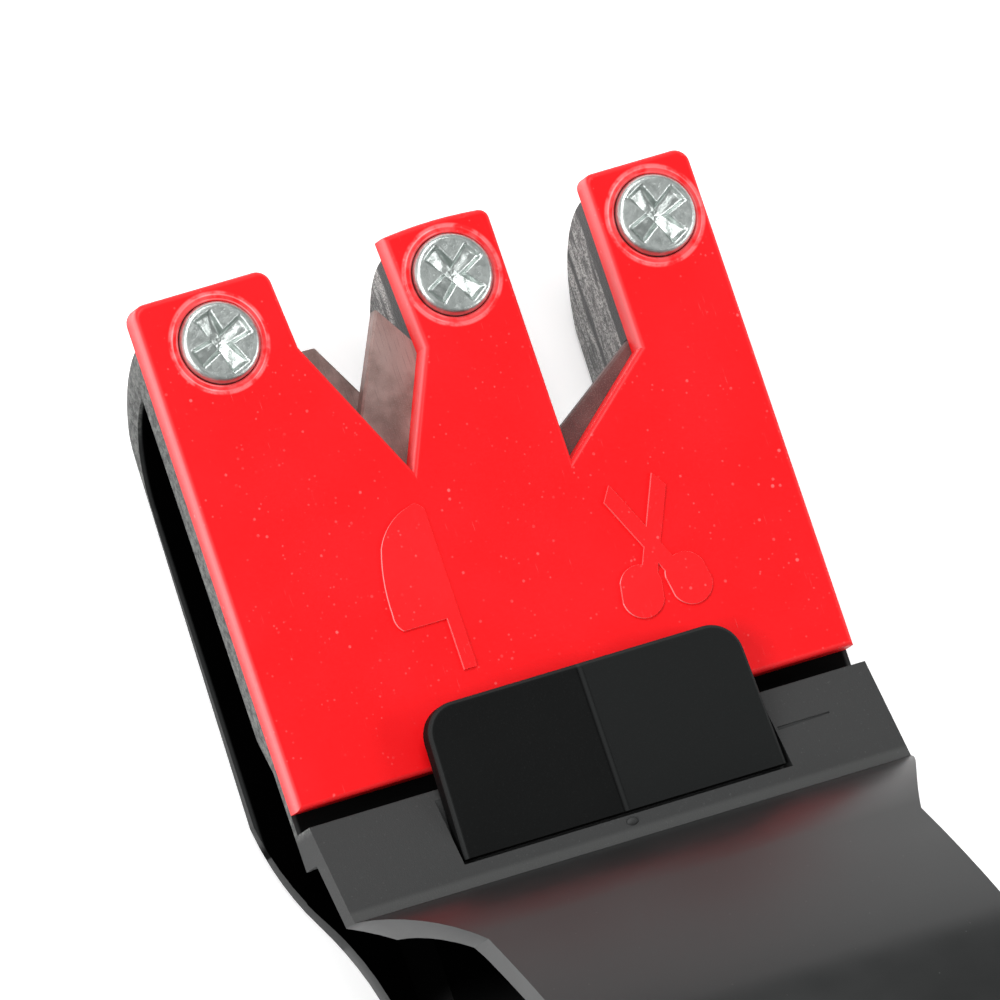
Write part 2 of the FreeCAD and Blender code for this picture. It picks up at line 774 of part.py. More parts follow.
def carbide_blade(name, where, up):
    body = new_body(name)
    pad(body, closed_outline(place_sketch(body, name + "_outline", "XY_Plane"), blade_outline()),
        "blade_thickness")
    top = number("blade_thickness")
    dress(body, "Chamfer", "blade_land", lambda edge: all(
        abs(v.Y) < SAME and abs(v.Z - top) < SAME for v in edge.Vertexes))
    place(body, across(where + "_x"), down(where + "_down"), up, number(where + "_turn"))
    return body


def place(body, x, y, z, turn):
    """Puts the body down in the tool's frame, turned about Z."""
    upright = FreeCAD.Vector(0, 0, 1)
    body.Placement = FreeCAD.Placement(FreeCAD.Vector(), FreeCAD.Rotation(upright, turn))
    for letter, expression in zip("xyz", (x, y, z)):
        body.setExpression(f"Placement.Base.{letter}", bound(expression))
    doc.recompute()


def plate_screw(where, turn):
    body = new_body(f"plate_screw_{where}")
    profile = [
        ("0", "screw_head_height"),
        ("0", "-screw_length"),
        ("screw_point_tip / 2", "-screw_length"),
        ("screw_shank / 2", "screw_point - screw_length"),
        ("screw_shank / 2", "0"),
        ("screw_head / 2", "0"),
        ("screw_head / 2", "screw_rim", "screw_rim_radius", 1),
        ("screw_face / 2", "screw_head_height"),
    ]
    sketch = closed_outline(place_sketch(body, f"screw_profile_{where}", "XZ_Plane"), profile)
    turned = body.newObject("PartDesign::Revolution", f"screw_turned_{where}")
    turned.Profile = sketch
    turned.ReferenceAxis = (sketch, ["V_Axis"])
    turned.Angle = 360.0
    doc.recompute()
    arm, half = "cross_span / 2", "cross_width / 2"
    cross = [
        (arm, f"-{half}"), (arm, half), (half, half), (half, arm), (f"-{half}", arm),
        (f"-{half}", half), (f"-{arm}", half), (f"-{arm}", f"-{half}"), (f"-{half}", f"-{half}"),
        (f"-{half}", f"-{arm}"), (half, f"-{arm}"), (half, f"-{half}"),
    ]
    recess = place_sketch(body, f"cross_recess_{where}", "XY_Plane", "screw_head_height")
    pocket(body, closed_outline(recess, cross), "cross_depth", taper="-cross_taper")
    seat_up = f"({FRONT} - counterbore_depth)"
    place(body, across(f"screw_{where}_x"), down("screw_down"), seat_up, turn)
    return body


def clip_tongue():
    body = new_body("clip_tongue")
    middle = across("tongue_centre_x")
    corners = {sign: f"({middle} + {sign} * tongue_width / 2)" for sign in SIDES.values()}
    roots = {sign: f"({middle} + {sign} * tongue_root_width / 2)" for sign in SIDES.values()}
    outline = [
        (roots[-1], down("tongue_root_down")),
        (roots[1], down("tongue_root_down")),
        (corners[1], down("tongue_top_down")),
        (corners[-1], down("tongue_top_down")),
    ]
    sketch = place_sketch(body, "tongue_outline", "XY_Plane", "tongue_up")
    pad(body, closed_outline(sketch, outline), "tongue_thickness")
    top = down("tongue_top_down")
    dress(body, "Fillet", "tongue_corner", lambda edge: is_upright(edge) and any(
        passes(edge, x, top) for x in corners.values()))
    face = number("tongue_up + tongue_thickness")
    root = number(down("tongue_root_down"))
    dress(body, "Fillet", "tongue_edge", lambda edge: all(
        abs(v.Z - face) < SAME for v in edge.Vertexes) and abs(edge.CenterOfMass.y - root) > NEARBY)
    ridge = place_sketch(body, "ridge", "XY_Plane", "(tongue_up + tongue_thickness / 2)")
    lines = [
        (f"{middle} - ridge_width / 2", down("tongue_root_down")),
        (f"{middle} + ridge_width / 2", down("tongue_root_down")),
        (f"{middle} + ridge_width / 2", down("(tongue_top_down + tongue_edge)")),
        (f"{middle} - ridge_width / 2", down("(tongue_top_down + tongue_edge)")),
    ]
    pad(body, closed_outline(ridge, lines), "tongue_thickness / 2 + ridge_height")
    return body


def check_document():
    for thing in doc.Objects:
        bad = [state for state in thing.State if state in ("Invalid", "Error")]
        if bad:
            raise RuntimeError(f"{thing.Label}: {bad}")


def main():
    pieces = [body_moulding(), front_plate(), clip_tongue()]
    pieces += [carbide_blade(name, *about) for name, about in BLADES.items()]
    pieces += [plate_screw(where, turn) for where, turn in SCREWS.items()]
    doc.recompute()
    check_document()
    os.makedirs("parts", exist_ok=True)
    for piece in pieces:
        shape = piece.Shape
        if shape.isNull() or not shape.isValid() or len(shape.Solids) != 1:
            raise RuntimeError(f"{piece.Label} is not one sound solid")
        print(piece.Label, round(shape.Volume, 1), "mm3")
        shape.exportStep(f"parts/{piece.Label}.step")


main()
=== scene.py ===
import math

import bmesh
import bpy
from mathutils import Matrix, Vector, noise


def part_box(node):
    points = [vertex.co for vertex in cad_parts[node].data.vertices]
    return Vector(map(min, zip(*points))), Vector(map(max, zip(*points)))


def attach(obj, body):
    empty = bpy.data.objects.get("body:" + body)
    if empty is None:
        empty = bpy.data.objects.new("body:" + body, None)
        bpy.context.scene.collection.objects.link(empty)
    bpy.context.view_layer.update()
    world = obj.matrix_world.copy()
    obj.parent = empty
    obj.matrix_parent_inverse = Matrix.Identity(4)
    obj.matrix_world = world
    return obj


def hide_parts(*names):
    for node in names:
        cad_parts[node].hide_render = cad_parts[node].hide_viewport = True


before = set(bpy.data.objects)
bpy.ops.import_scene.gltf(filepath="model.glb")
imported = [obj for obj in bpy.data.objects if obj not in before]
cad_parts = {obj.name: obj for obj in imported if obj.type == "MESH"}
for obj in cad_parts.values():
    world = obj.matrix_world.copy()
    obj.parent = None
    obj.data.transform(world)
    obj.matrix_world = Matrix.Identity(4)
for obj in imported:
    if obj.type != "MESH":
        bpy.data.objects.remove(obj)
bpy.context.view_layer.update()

MM = 0.001
BODY = "body"
SIDES = ("left", "middle", "right")


def high_corner(node):
    """A CAD piece's highest corner, in millimetres to the hundredth."""
    return [round(value / MM, 2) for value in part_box(node)[1]]


def middle_of(node):
    """X and Y of a CAD piece's middle, in millimetres to the hundredth."""
    low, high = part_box(node)
    return [round((low[axis] + high[axis]) / 2 / MM, 2) for axis in (0, 1)]


# Sizes are in millimetres and turns in degrees. The plate's high corner comes from the
# frame, and its pictograms stand ICON_RAISED above its face.
HALF_WIDTH, PLATE_TOP, ICON_TOP = high_corner("front_plate")
ICON_RAISED = 0.25
PLATE_THICKNESS = 2.4
PLATE_FACE = ICON_TOP - ICON_RAISED
PLATE_BACK = PLATE_FACE - PLATE_THICKNESS
FLOOR_BACK = 10.5
# The heights of a band on the slot walls that their painted sheen leaves out.
WALL_SHEEN_GAP = (4.6, 5.4)
SCREW_SPOTS = {where: middle_of(f"plate_screw_{where}") for where in SIDES}
SCREW_TURNS = {"left": 20.0, "middle": 34.0, "right": 28.0}
LIP_RADIUS = 4.15
CREASE = 0.55

# Places along the tool are counted down from ZERO_LINE, just under the plate's top edge.
ZERO_UNDER_TOP = 0.7
ZERO_LINE = PLATE_TOP - ZERO_UNDER_TOP
NOSE_END = 16.0
NOTCHES_END = 24.5
PLATE_GAP = (42.0, 45.35)
COLLAR_START = 45.2
# Where the sheen painted on the head's sides ends.
SIDE_SHEEN_END = 45.5
NUB_DOWN = 52.7
COLLAR_CORNER = (53.3, 54.3)
GUARD_START = 54.3
PIT_FADE = (60.0, 72.0)

# Places across the tool are counted from its middle plane to both sides.
OUTER_PRONG = 17.35
OUTER_NOSE = 17.85

# Colours, as red, green and blue from 0 to 1.
DEEP_RED = (0.84, 0.0025, 0.0055)
BRIGHT_RED = (0.93, 0.005, 0.009)
PINK_DOT = (1.0, 0.33, 0.33)
PINK_SCRATCH = (1.0, 0.28, 0.28)
# A pink-white painted on the plate as highlight and light.
PAINTED_HIGHLIGHT_RED = (1.0, 0.46, 0.47)
PITCH_BLACK = (0.0006, 0.0006, 0.0006)
DEEP_BLACK = (0.014, 0.015, 0.015)
SOFT_BLACK = (0.022, 0.023, 0.023)
DUST_GREY = (0.3, 0.3, 0.3)
# A grey painted on the collar's upward faces as sheen.
COLLAR_SHEEN_GREY = (0.038, 0.039, 0.039)
# A paler grey for the collar's lower corner and its grit specks.
CORNER_AND_GRIT_GREY = (0.075, 0.077, 0.075)
# A grey painted on the head's sides as sheen.
SIDE_SHEEN_GREY = (0.27, 0.28, 0.265)
# A silver painted on the slot walls as sheen.
WALL_SHEEN_SILVER = (0.56, 0.56, 0.54)
TONGUE_DEEP = (0.0020, 0.0024, 0.0024)
TONGUE_SOFT = (0.0040, 0.0044, 0.0044)
# The tongue's right half, painted paler as the lit side of its fold.
TONGUE_LIT_RIGHT = (0.0105, 0.0115, 0.0115)
# A grey painted on the tongue as highlight along its crease and rim, and as pale flecks of its grain.
TONGUE_HIGHLIGHT_AND_FLECKS = (0.035, 0.037, 0.037)
DULL_ZINC = (0.44, 0.49, 0.47)
BRIGHT_ZINC = (0.68, 0.72, 0.70)
KNIFE_DULL = (0.17, 0.115, 0.10)
KNIFE_BRIGHT = (0.30, 0.215, 0.195)
SCISSORS_DULL = (0.075, 0.030, 0.028)
SCISSORS_BRIGHT = (0.13, 0.065, 0.06)
GROUND_BRIGHT = (0.42, 0.36, 0.34)
GROUND_DARK = (0.04, 0.03, 0.03)
FLOOR_WHITE = (0.93, 0.93, 0.93)
WHITE = (1.0, 1.0, 1.0)


# ---------------------------------------------------------------- shader maths
class Value:
    """A number that varies over a surface. Expressions on it add Math nodes."""

    def __init__(self, paint, socket):
        self.paint = paint
        self.socket = socket

    def _math(self, operation, first, second=None, clamp=False):
        values = [first] if second is None else [first, second]
        settings = {"operation": operation, "use_clamp": clamp}
        return self.paint.node("ShaderNodeMath", settings, dict(enumerate(values)))[0]

    def __add__(self, other):
        return self._math("ADD", self, other)

    def __radd__(self, other):
        return self._math("ADD", other, self)

    def __sub__(self, other):
        return self._math("SUBTRACT", self, other)

    def __rsub__(self, other):
        return self._math("SUBTRACT", other, self)

    def __mul__(self, other):
        return self._math("MULTIPLY", self, other)

    def __rmul__(self, other):
        return self._math("MULTIPLY", other, self)

    def __pow__(self, other):
        return self._math("POWER", self, other)

    def size(self):
        """The value without its sign."""
        return self._math("ABSOLUTE", self)

    def most(self, other):
        """The larger of two values."""
        return self._math("MAXIMUM", self, other)

    def clamped(self):
        """The value kept from 0 to 1."""
        return self._math("ADD", self, 0.0, clamp=True)

    def step(self, place, blur):
        """0 below the place and 1 above it, with a soft edge."""
        return self.ramp(place - blur, place + blur)

    def band(self, low, high, blur):
        """1 between low and high and 0 outside, with soft ends."""
        return self.step(low, blur) * (1.0 - self.step(high, blur))

    def ramp(self, low, high):
        """0 below low, 1 above high, smooth between."""
        settings = {"interpolation_type": "SMOOTHSTEP"}
        values = {"Value": self, "From Min": low, "From Max": high}
        return self.paint.node("ShaderNodeMapRange", settings, values)[0]


class Paint:
    """One material being built: its nodes, its coordinates and its shader."""

    def __init__(self, name):
        self.material = bpy.data.materials.new(name)
        self.material.use_nodes = True
        self.tree = self.material.node_tree
        self.shader = self.tree.nodes["Principled BSDF"]
        self.spot = self.node("ShaderNodeTexCoord", {}, {})["Object"]

    def node(self, kind, settings, values):
        """Adds a node with its settings, and the values or links of its sockets."""
        made = self.tree.nodes.new(kind)
        for name, setting in settings.items():
            setattr(made, name, setting)
        for name, value in values.items():
            self._feed(made.inputs[name], value)
        return Outputs(self, made)

    def _feed(self, socket, value):
        if isinstance(value, Value):
            self.tree.links.new(value.socket, socket)
        elif hasattr(value, "__len__") and len(value) == 3 and socket.type == "RGBA":
            socket.default_value = (*value, 1.0)
        else:
            socket.default_value = value

    def set(self, **values):
        """Sets the shader's own sockets; an underscore stands for a space."""
        for name, value in values.items():
            self._feed(self.shader.inputs[name.replace("_", " ")], value)
        return self

    def place(self, scale, turn=0.0):
        """The surface's coordinates in metres, times scale and turned about Z."""
        values = {"Vector": self.spot, "Scale": scale, "Rotation": (0.0, 0.0, turn)}
        return self.node("ShaderNodeMapping", {"vector_type": "POINT"}, values)[0]

    def noise(self, size, detail=3.0, roughness=0.55, stretch=(1, 1, 1), turn=0.0):
        """Soft noise from 0 to 1 whose blotches are about size millimetres wide."""
        scale = tuple(1.0 / (size * MM * s) for s in stretch)
        values = {"Vector": self.place(scale, turn), "Scale": 1.0}
        values.update({"Detail": detail, "Roughness": roughness})
        return self.node("ShaderNodeTexNoise", {}, values)[0]

    def specks(self, spacing, size):
        """1 in sparse round dots, size as a part of their spacing in millimetres, and 0 elsewhere."""
        scale = (1.0 / (spacing * MM),) * 3
        values = {"Vector": self.place(scale), "Scale": 1.0}
        cells = self.node("ShaderNodeTexVoronoi", {"feature": "F1"}, values)
        return 1.0 - cells["Distance"].ramp(size * 0.5, size)

    def axis(self):
        """X, Y and Z in millimetres."""
        parts = self.node("ShaderNodeSeparateXYZ", {}, {0: self.spot})
        return [parts[i] * (1.0 / MM) for i in range(3)]

    def facing(self):
        """X, Y and Z of the surface's direction."""
        normal = self.node("ShaderNodeNewGeometry", {}, {})["Normal"]
        parts = self.node("ShaderNodeSeparateXYZ", {}, {0: normal})
        return [parts[i] for i in range(3)]

    def mix(self, factor, first, second):
        """A colour between two others."""
        values = {0: factor, 6: first, 7: second}
        return self.node("ShaderNodeMix", {"data_type": "RGBA"}, values)[2]

    def swallow(self, factor):
        """Where factor is 1, the surface turns to a black that gives almost no light back."""
        pit = self.node("ShaderNodeBsdfDiffuse", {}, {"Color": PITCH_BLACK, "Roughness": 1.0})["BSDF"]
        own = Value(self, self.shader.outputs["BSDF"])
        both = self.node("ShaderNodeMixShader", {}, {0: factor, 1: own, 2: pit})["Shader"]
        output = self.tree.nodes["Material Output"]
        self.tree.links.new(both.socket, output.inputs["Surface"])
        return self

    def bump(self, height, depth):
        """Feeds the shader's normal with bumps of so many millimetres."""
        values = {"Height": height, "Distance": depth * MM, "Strength": 1.0}
        self.set(Normal=self.node("ShaderNodeBump", {}, values)[0])
        return self


class Outputs:
    """A node's outputs, by name or by place."""

    def __init__(self, paint, made):
        self.paint = paint
        self.made = made

    def __getitem__(self, key):
        return Value(self.paint, self.made.outputs[key])


# ---------------------------------------------------------------- materials
def red_acetal():
    """Red acetal with a waxy depth, pale specks and fine scratches, with painted highlights on its
    edges, its left side, its pictograms and the screw lips, and painted light in the counterbores.
    """
    paint = Paint("red_acetal")
    x, y, z = paint.axis()
    nx, _, nz = paint.facing()
    cloud = paint.noise(9.0, detail=2.0)
    grain = paint.noise(0.35, detail=4.0)
    fine = paint.specks(0.7, 0.17) * paint.noise(3.0, detail=4.0).ramp(0.42, 0.62)
    small = paint.specks(1.3, 0.13) * paint.noise(4.0).ramp(0.45, 0.6)
    large = paint.specks(3.3, 0.06)
    strokes = paint.noise(0.09, detail=2.0, stretch=(1, 26, 1), turn=0.5).ramp(0.70, 0.80)
    where = paint.noise(5.0, detail=1.0).ramp(0.5, 0.62)
    scratches = (strokes * where).clamped()
    broken = paint.noise(1.3, detail=3.0).ramp(0.35, 0.6)
    # Round each screw: a painted highlight on the lip, and painted light that lifts the shade inside
    # the counterbore.
    lip_and_bore_light = 0.0
    for spot_x, spot_y in SCREW_SPOTS.values():
        away = ((x - spot_x) ** 2.0 + (y - spot_y) ** 2.0) ** 0.5
        bore_fill_light = 1.0 - away.ramp(LIP_RADIUS - 0.3, LIP_RADIUS + 0.05)
        lip_and_bore_light = away.band(LIP_RADIUS - 0.1, LIP_RADIUS + 0.25, 0.1) + bore_fill_light * 0.45 + lip_and_bore_light
    # Painted highlights: on the fillets round the front face, on the faces turned left, on the
    # pictograms' sides, and a touch on the pictograms' tops.
    edge = nz.band(0.15, 0.96, 0.05) * z.ramp(PLATE_FACE - 0.8, PLATE_FACE - 0.3)
    raised = z.ramp(PLATE_FACE + 0.1, PLATE_FACE + 0.2)
    icon_edge_highlight = nz.size().band(0.02, 0.97, 0.02) * z.ramp(PLATE_FACE + 0.02, PLATE_FACE + 0.08)
    left_side_highlight = (-1.0 * nx).ramp(0.5, 0.9) * z.ramp(PLATE_BACK, PLATE_FACE)
    red = paint.mix(cloud.ramp(0.3, 0.7), DEEP_RED, BRIGHT_RED)
    dots = (fine * 0.16 + small * 0.24 + large * 0.35).clamped()
    marked = paint.mix(dots, red, PINK_DOT)
    scratched = paint.mix(scratches * 0.22, marked, PINK_SCRATCH)
    # pale is how far the painted highlights and painted light turn the red to pink-white.
    pale = lip_and_bore_light * (0.02 + broken * 0.30) + edge * 0.03 + left_side_highlight * 0.34 + icon_edge_highlight * 0.5
    highlighted_red = paint.mix((pale + raised * 0.010).clamped(), scratched, PAINTED_HIGHLIGHT_RED)
    paint.set(Base_Color=highlighted_red, Roughness=0.36 + grain * 0.14 + scratches * 0.1)
    paint.set(Subsurface_Weight=0.10, Subsurface_Scale=0.0012, Subsurface_Radius=(1.0, 0.12, 0.10))
    paint.set(Specular_IOR_Level=0.26)
    return paint.bump(grain * 0.35 + scratches * 0.6 + cloud, 0.012).material


def black_moulding():
    """Black plastic: spark-eroded grain, painted sheen on its sides, its collar's upward faces and
    its slot walls, a paler band along the collar's lower corner, and polished on the guard.

    hidden marks the side cavities and the gap below the plate, which are painted lightless and
    so stay black whatever light reaches them.
    """
    paint = Paint("black_moulding")
    x, y, z = paint.axis()
    nx, ny, nz = paint.facing()
    along = ZERO_LINE - y
    wide = x.size()
    steep = 1.0 - nz.size().ramp(0.5, 0.8)
    grain = paint.noise(0.16, detail=3.0, roughness=0.7)
    coarse = paint.noise(0.55, detail=4.0, roughness=0.7)
    streaks = paint.noise(0.9, detail=3.0, roughness=0.6, stretch=(1, 4, 1))
    cloud = paint.noise(6.0, detail=3.0)
    dust = paint.specks(1.4, 0.06)
    upward = nz.ramp(0.3, 0.6)
    guard = along.step(GUARD_START, 0.3)
    collar = along.step(COLLAR_START, 0.2) * (1.0 - guard) * upward
    outside = wide.step(HALF_WIDTH - 0.35, 0.15)
    under = 1.0 - z.step(PLATE_BACK - 0.2, 0.05)
    deep = along.step(NOTCHES_END, 0.2).most(wide.step(OUTER_PRONG, 0.15))
    gap = along.band(*PLATE_GAP, 0.1) * (1.0 - z.ramp(PLATE_BACK + 0.9, PLATE_BACK + 1.8))
    inward = nz.ramp(-0.3, -0.1) * (1.0 - ny.ramp(0.2, 0.4))
    inner = 1.0 - nx.size().ramp(0.3, 0.6) * wide.step(OUTER_NOSE, 0.15)
    pit = under * deep * inward * inner * (1.0 - along.ramp(*PIT_FADE))
    hidden = pit.most(gap * 0.9) * (1.0 - outside)
    slots = under * (1.0 - deep) * steep
    strip = z.step(FLOOR_BACK - 0.05, 0.05).most(1.0 - along.step(NOSE_END, 1.0))
    # Painted sheen on the head's outer side faces, broken up by the coarse grain.
    side_sheen = outside * strip * steep * (1.0 - along.step(SIDE_SHEEN_END, 0.5))
    corner = along.band(*COLLAR_CORNER, 0.25) * upward
    grit = paint.noise(0.3, detail=4.0, roughness=0.8).ramp(0.6, 0.72)
    below_floor = 1.0 - z.step(FLOOR_BACK - 0.4, 0.2)
    # Painted sheen in silvery streaks on the slot walls, left out along a band.
    walls = slots * below_floor * (1.0 - z.band(*WALL_SHEEN_GAP, 0.25))
    sheen_streaks = streaks.ramp(0.3, 0.62) * (0.1 + grain.ramp(0.42, 0.58) * 0.9)
    black = paint.mix(cloud, DEEP_BLACK, SOFT_BLACK)
    dusty = paint.mix(dust * 0.12, black, DUST_GREY)
    # The collar's upward faces get a painted sheen of grey.
    toned = paint.mix(collar * (0.35 + grain * 0.4), dusty, COLLAR_SHEEN_GREY)
    # The collar is paler along its lower corner and flecked with grit.
    pale_corner_and_grit = (corner * 0.45 + collar * grit * 0.6).clamped()
    matte = paint.mix(pale_corner_and_grit, toned, CORNER_AND_GRIT_GREY)
    side_sheened = paint.mix(side_sheen * coarse.ramp(0.3, 0.8) * 0.75, matte, SIDE_SHEEN_GREY)
    wall_sheened = paint.mix(walls * sheen_streaks, side_sheened, WALL_SHEEN_SILVER)
    paint.set(Base_Color=wall_sheened)
    rough = 0.5 + grain * 0.15
    shiny = 0.30 + cloud * 0.12
    paint.set(Roughness=(rough * (1.0 - guard) + shiny * guard - slots * 0.2).clamped())
    paint.set(Specular_IOR_Level=0.29).swallow(hidden)
    relief = grain * (1.0 - guard * 0.92) + (side_sheen + slots) * coarse * 3.0
    return paint.bump(relief, 0.022).material


def tongue_plastic():
    """Black plastic, painted paler to the right of the crease as the lit side of a slight fold, with
    painted highlights along the crease and round its rim.
    """
    paint = Paint("black_tongue")
    x = paint.axis()[0]
    nz = paint.facing()[2]
    grain = paint.noise(0.12, detail=3.0, roughness=0.7)
    cloud = paint.noise(7.0)
    # Right of the crease the tongue is painted paler, as the lit side of the slight fold it has
    # there.
    right = x.step(CREASE, 0.2)
    crease = x.band(CREASE - 0.14, CREASE + 0.14, 0.1)
    rim_highlight = nz.band(0.15, 0.93, 0.06)
    black = paint.mix(cloud, TONGUE_DEEP, TONGUE_SOFT)
    toned = paint.mix(right * 0.8, black, TONGUE_LIT_RIGHT)
    # Painted highlights along the crease and round the rim, with pale flecks where the grain is high.
    pale = (crease * 0.3 + rim_highlight * 0.5 + grain.ramp(0.55, 0.75) * 0.2).clamped()
    surface_colour = paint.mix(pale, toned, TONGUE_HIGHLIGHT_AND_FLECKS)
    paint.set(Base_Color=surface_colour, Roughness=0.6 + grain * 0.2, Specular_IOR_Level=0.11)
    return paint.bump(grain, 0.018).material


def bright_zinc():
    """Bright zinc plating, slightly pitted."""
    paint = Paint("bright_zinc")
    pits = paint.noise(0.5, detail=4.0)
    fine = paint.noise(0.12, detail=2.0)
    zinc = paint.mix(pits, DULL_ZINC, BRIGHT_ZINC)
    paint.set(Base_Color=zinc, Metallic=1.0, Roughness=0.24 + pits * 0.26)
    return paint.bump(pits + fine * 0.5, 0.04).material


def ground_carbide(name, dull, bright):
    """Sintered carbide with a coarse ground face."""
    paint = Paint(name)
    grain = paint.noise(0.11, detail=4.0, roughness=0.85)
    strokes = paint.noise(0.07, detail=2.0, stretch=(1, 30, 1), turn=0.9)
    cloud = paint.noise(3.5)
    base = paint.mix(cloud.ramp(0.35, 0.65), dull, bright)
    spotted = paint.mix(grain.ramp(0.5, 0.7) * 0.4, base, GROUND_BRIGHT)
    surface_colour = paint.mix(strokes.ramp(0.55, 0.75) * 0.35, spotted, GROUND_DARK)
    paint.set(Base_Color=surface_colour, Metallic=0.25, Roughness=0.42 + grain * 0.2)
    return paint.bump(grain * 0.6 + strokes * 0.5, 0.012).material


# ---------------------------------------------------------------- screws and small marks
# The head's side and the shank are rings, each with its radius and its height above the seat.
HEAD_TOP = high_corner("plate_screw_middle")[2]
HEAD_HEIGHT = 1.35
HEAD_FACE = 3.05
HEAD_SIDE = ((3.18, 1.30), (3.32, 1.18), (3.44, 0.98), (3.50, 0.75), (3.50, 0.0))
SHANK = ((1.75, 0.0), (1.75, -4.2), (0.4, -6.4))
TOP_RINGS = 34
SEGMENTS = 144

CROSS_REACH = 2.72
CROSS_HALF = 0.62
CROSS_FLARE = 0.10
CROSS_SIDE_WALL = 0.30
CROSS_END_WALL = 0.36
CROSS_SHALLOW = 0.34
CROSS_DEEPER = 0.80
LUMP_HEIGHT = 0.10
LUMPS_PER_MM = 1.3
LUMP_LAYER = 2.0

LIP_MIDDLE = 3.91
LIP_HALF = 0.35
LIP_HIGH = 0.12
LIP_SUNK = 0.05
LIP_WAVERS = 1.7
LIP_LAYER = 0.4
WIDTH_WAVER = 0.03
HEIGHT_WAVER = 0.06
LIP_AROUND = 120
LIP_ACROSS = 10

NUB_UP = 18.66
NUB_SIZE = (0.55, 0.42, 0.28)
NUB_AROUND = 20
NUB_RINGS = 12


def piece_from(mesh, name, material):
    """Turns the mesh into an object with smooth faces and one material."""
    bmesh.ops.recalc_face_normals(mesh, faces=mesh.faces)
    for face in mesh.faces:
        face.smooth = True
    data = bpy.data.meshes.new(name)
    mesh.to_mesh(data)
    mesh.free()
    data.materials.append(material)
    piece = bpy.data.objects.new(name, data)
    bpy.context.scene.collection.objects.link(piece)
    return piece


def cross_depth(x, y):
    """How deep the cross recess is at a spot on the head, in millimetres."""
    depth = 0.0
    for along, away in ((abs(x), abs(y)), (abs(y), abs(x))):
        half = CROSS_HALF + CROSS_FLARE * along
        wall = min((half - away) / CROSS_SIDE_WALL, (CROSS_REACH - along) / CROSS_END_WALL, 1.0)
        if wall > 0.0:
            lump = noise.noise(Vector((x * LUMPS_PER_MM, y * LUMPS_PER_MM, LUMP_LAYER)))
            inward = max(0.0, 1.0 - along / CROSS_REACH)
            floor = CROSS_SHALLOW + LUMP_HEIGHT * lump + CROSS_DEEPER * inward
            depth = max(depth, floor * wall * (2.0 - wall))
    return depth


def pan_screw(where, material):
    """A plated pan head with a wide cross recess, and its shank."""
    turn = math.radians(SCREW_TURNS[where])
    spot_x, spot_y = SCREW_SPOTS[where]
    seat = HEAD_TOP - HEAD_HEIGHT
    rings = [(HEAD_FACE * (k + 1) / TOP_RINGS, None) for k in range(TOP_RINGS)]
    rings += HEAD_SIDE + SHANK
    mesh = bmesh.new()
    middle_up = HEAD_TOP - cross_depth(0.0, 0.0)
    middle = mesh.verts.new(Vector((spot_x, spot_y, middle_up)) * MM)
    loops = []
    for radius, up in rings:
        loop = []
        for k in range(SEGMENTS):
            angle = math.tau * k / SEGMENTS
            x = radius * math.cos(angle)
            y = radius * math.sin(angle)
            cross_x = x * math.cos(turn) + y * math.sin(turn)
            cross_y = y * math.cos(turn) - x * math.sin(turn)
            z = HEAD_TOP - cross_depth(cross_x, cross_y) if up is None else seat + up
            loop.append(mesh.verts.new(Vector((spot_x + x, spot_y + y, z)) * MM))
        loops.append(loop)
    for k in range(SEGMENTS):
        after = (k + 1) % SEGMENTS
        mesh.faces.new((middle, loops[0][k], loops[0][after]))
        for inner, outer in zip(loops, loops[1:]):
            mesh.faces.new((inner[k], outer[k], outer[after], inner[after]))
    mesh.faces.new(list(reversed(loops[-1])))
    piece = piece_from(mesh, f"pan_screw_{where}", material)
    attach(piece, BODY)
    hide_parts(f"plate_screw_{where}")


def lip(where, material):
    """The burr that the head has raised round its counterbore, uneven as pressed plastic is."""
    spot_x, spot_y = SCREW_SPOTS[where]
    mesh = bmesh.new()
    loops = []
    for k in range(LIP_AROUND):
        angle = math.tau * k / LIP_AROUND
        east = math.cos(angle)
        north = math.sin(angle)
        waver = noise.noise(Vector((east * LIP_WAVERS + spot_x, north * LIP_WAVERS, LIP_LAYER)))
        half = LIP_HALF + WIDTH_WAVER * waver
        high = LIP_HIGH + HEIGHT_WAVER * waver
        loop = []
        for j in range(LIP_ACROSS):
            tilt = math.tau * j / LIP_ACROSS
            radius = LIP_MIDDLE + half * math.cos(tilt)
            x = spot_x + radius * east
            y = spot_y + radius * north
            z = PLATE_FACE - LIP_SUNK + high * math.sin(tilt)
            loop.append(mesh.verts.new(Vector((x, y, z)) * MM))
        loops.append(loop)
    for loop, following in zip(loops, loops[1:] + loops[:1]):
        for j in range(LIP_ACROSS):
            after = (j + 1) % LIP_ACROSS
            mesh.faces.new((loop[j], following[j], following[after], loop[after]))
    piece = piece_from(mesh, f"screw_lip_{where}", material)
    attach(piece, BODY)


def gate_nub(material):
    """The trimmed-off gate on the collar, just under the tongue's crease."""
    mesh = bmesh.new()
    spot = Matrix.Translation(Vector((CREASE, ZERO_LINE - NUB_DOWN, NUB_UP)) * MM)
    size = Matrix.Diagonal((*(Vector(NUB_SIZE) * MM), 1.0))
    bmesh.ops.create_uvsphere(
        mesh, u_segments=NUB_AROUND, v_segments=NUB_RINGS, radius=1.0, matrix=spot @ size)
    piece = piece_from(mesh, "gate_nub", material)
    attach(piece, BODY)


# ---------------------------------------------------------------- CAD pieces that stay
# Sizes are in millimetres, and the angle is in degrees.
BODY_BEVEL = 0.2
PLATE_BEVEL = 0.22
BEVEL_SEGMENTS = 3
BEVEL_ANGLE = 28
WELD_GAP = 0.002


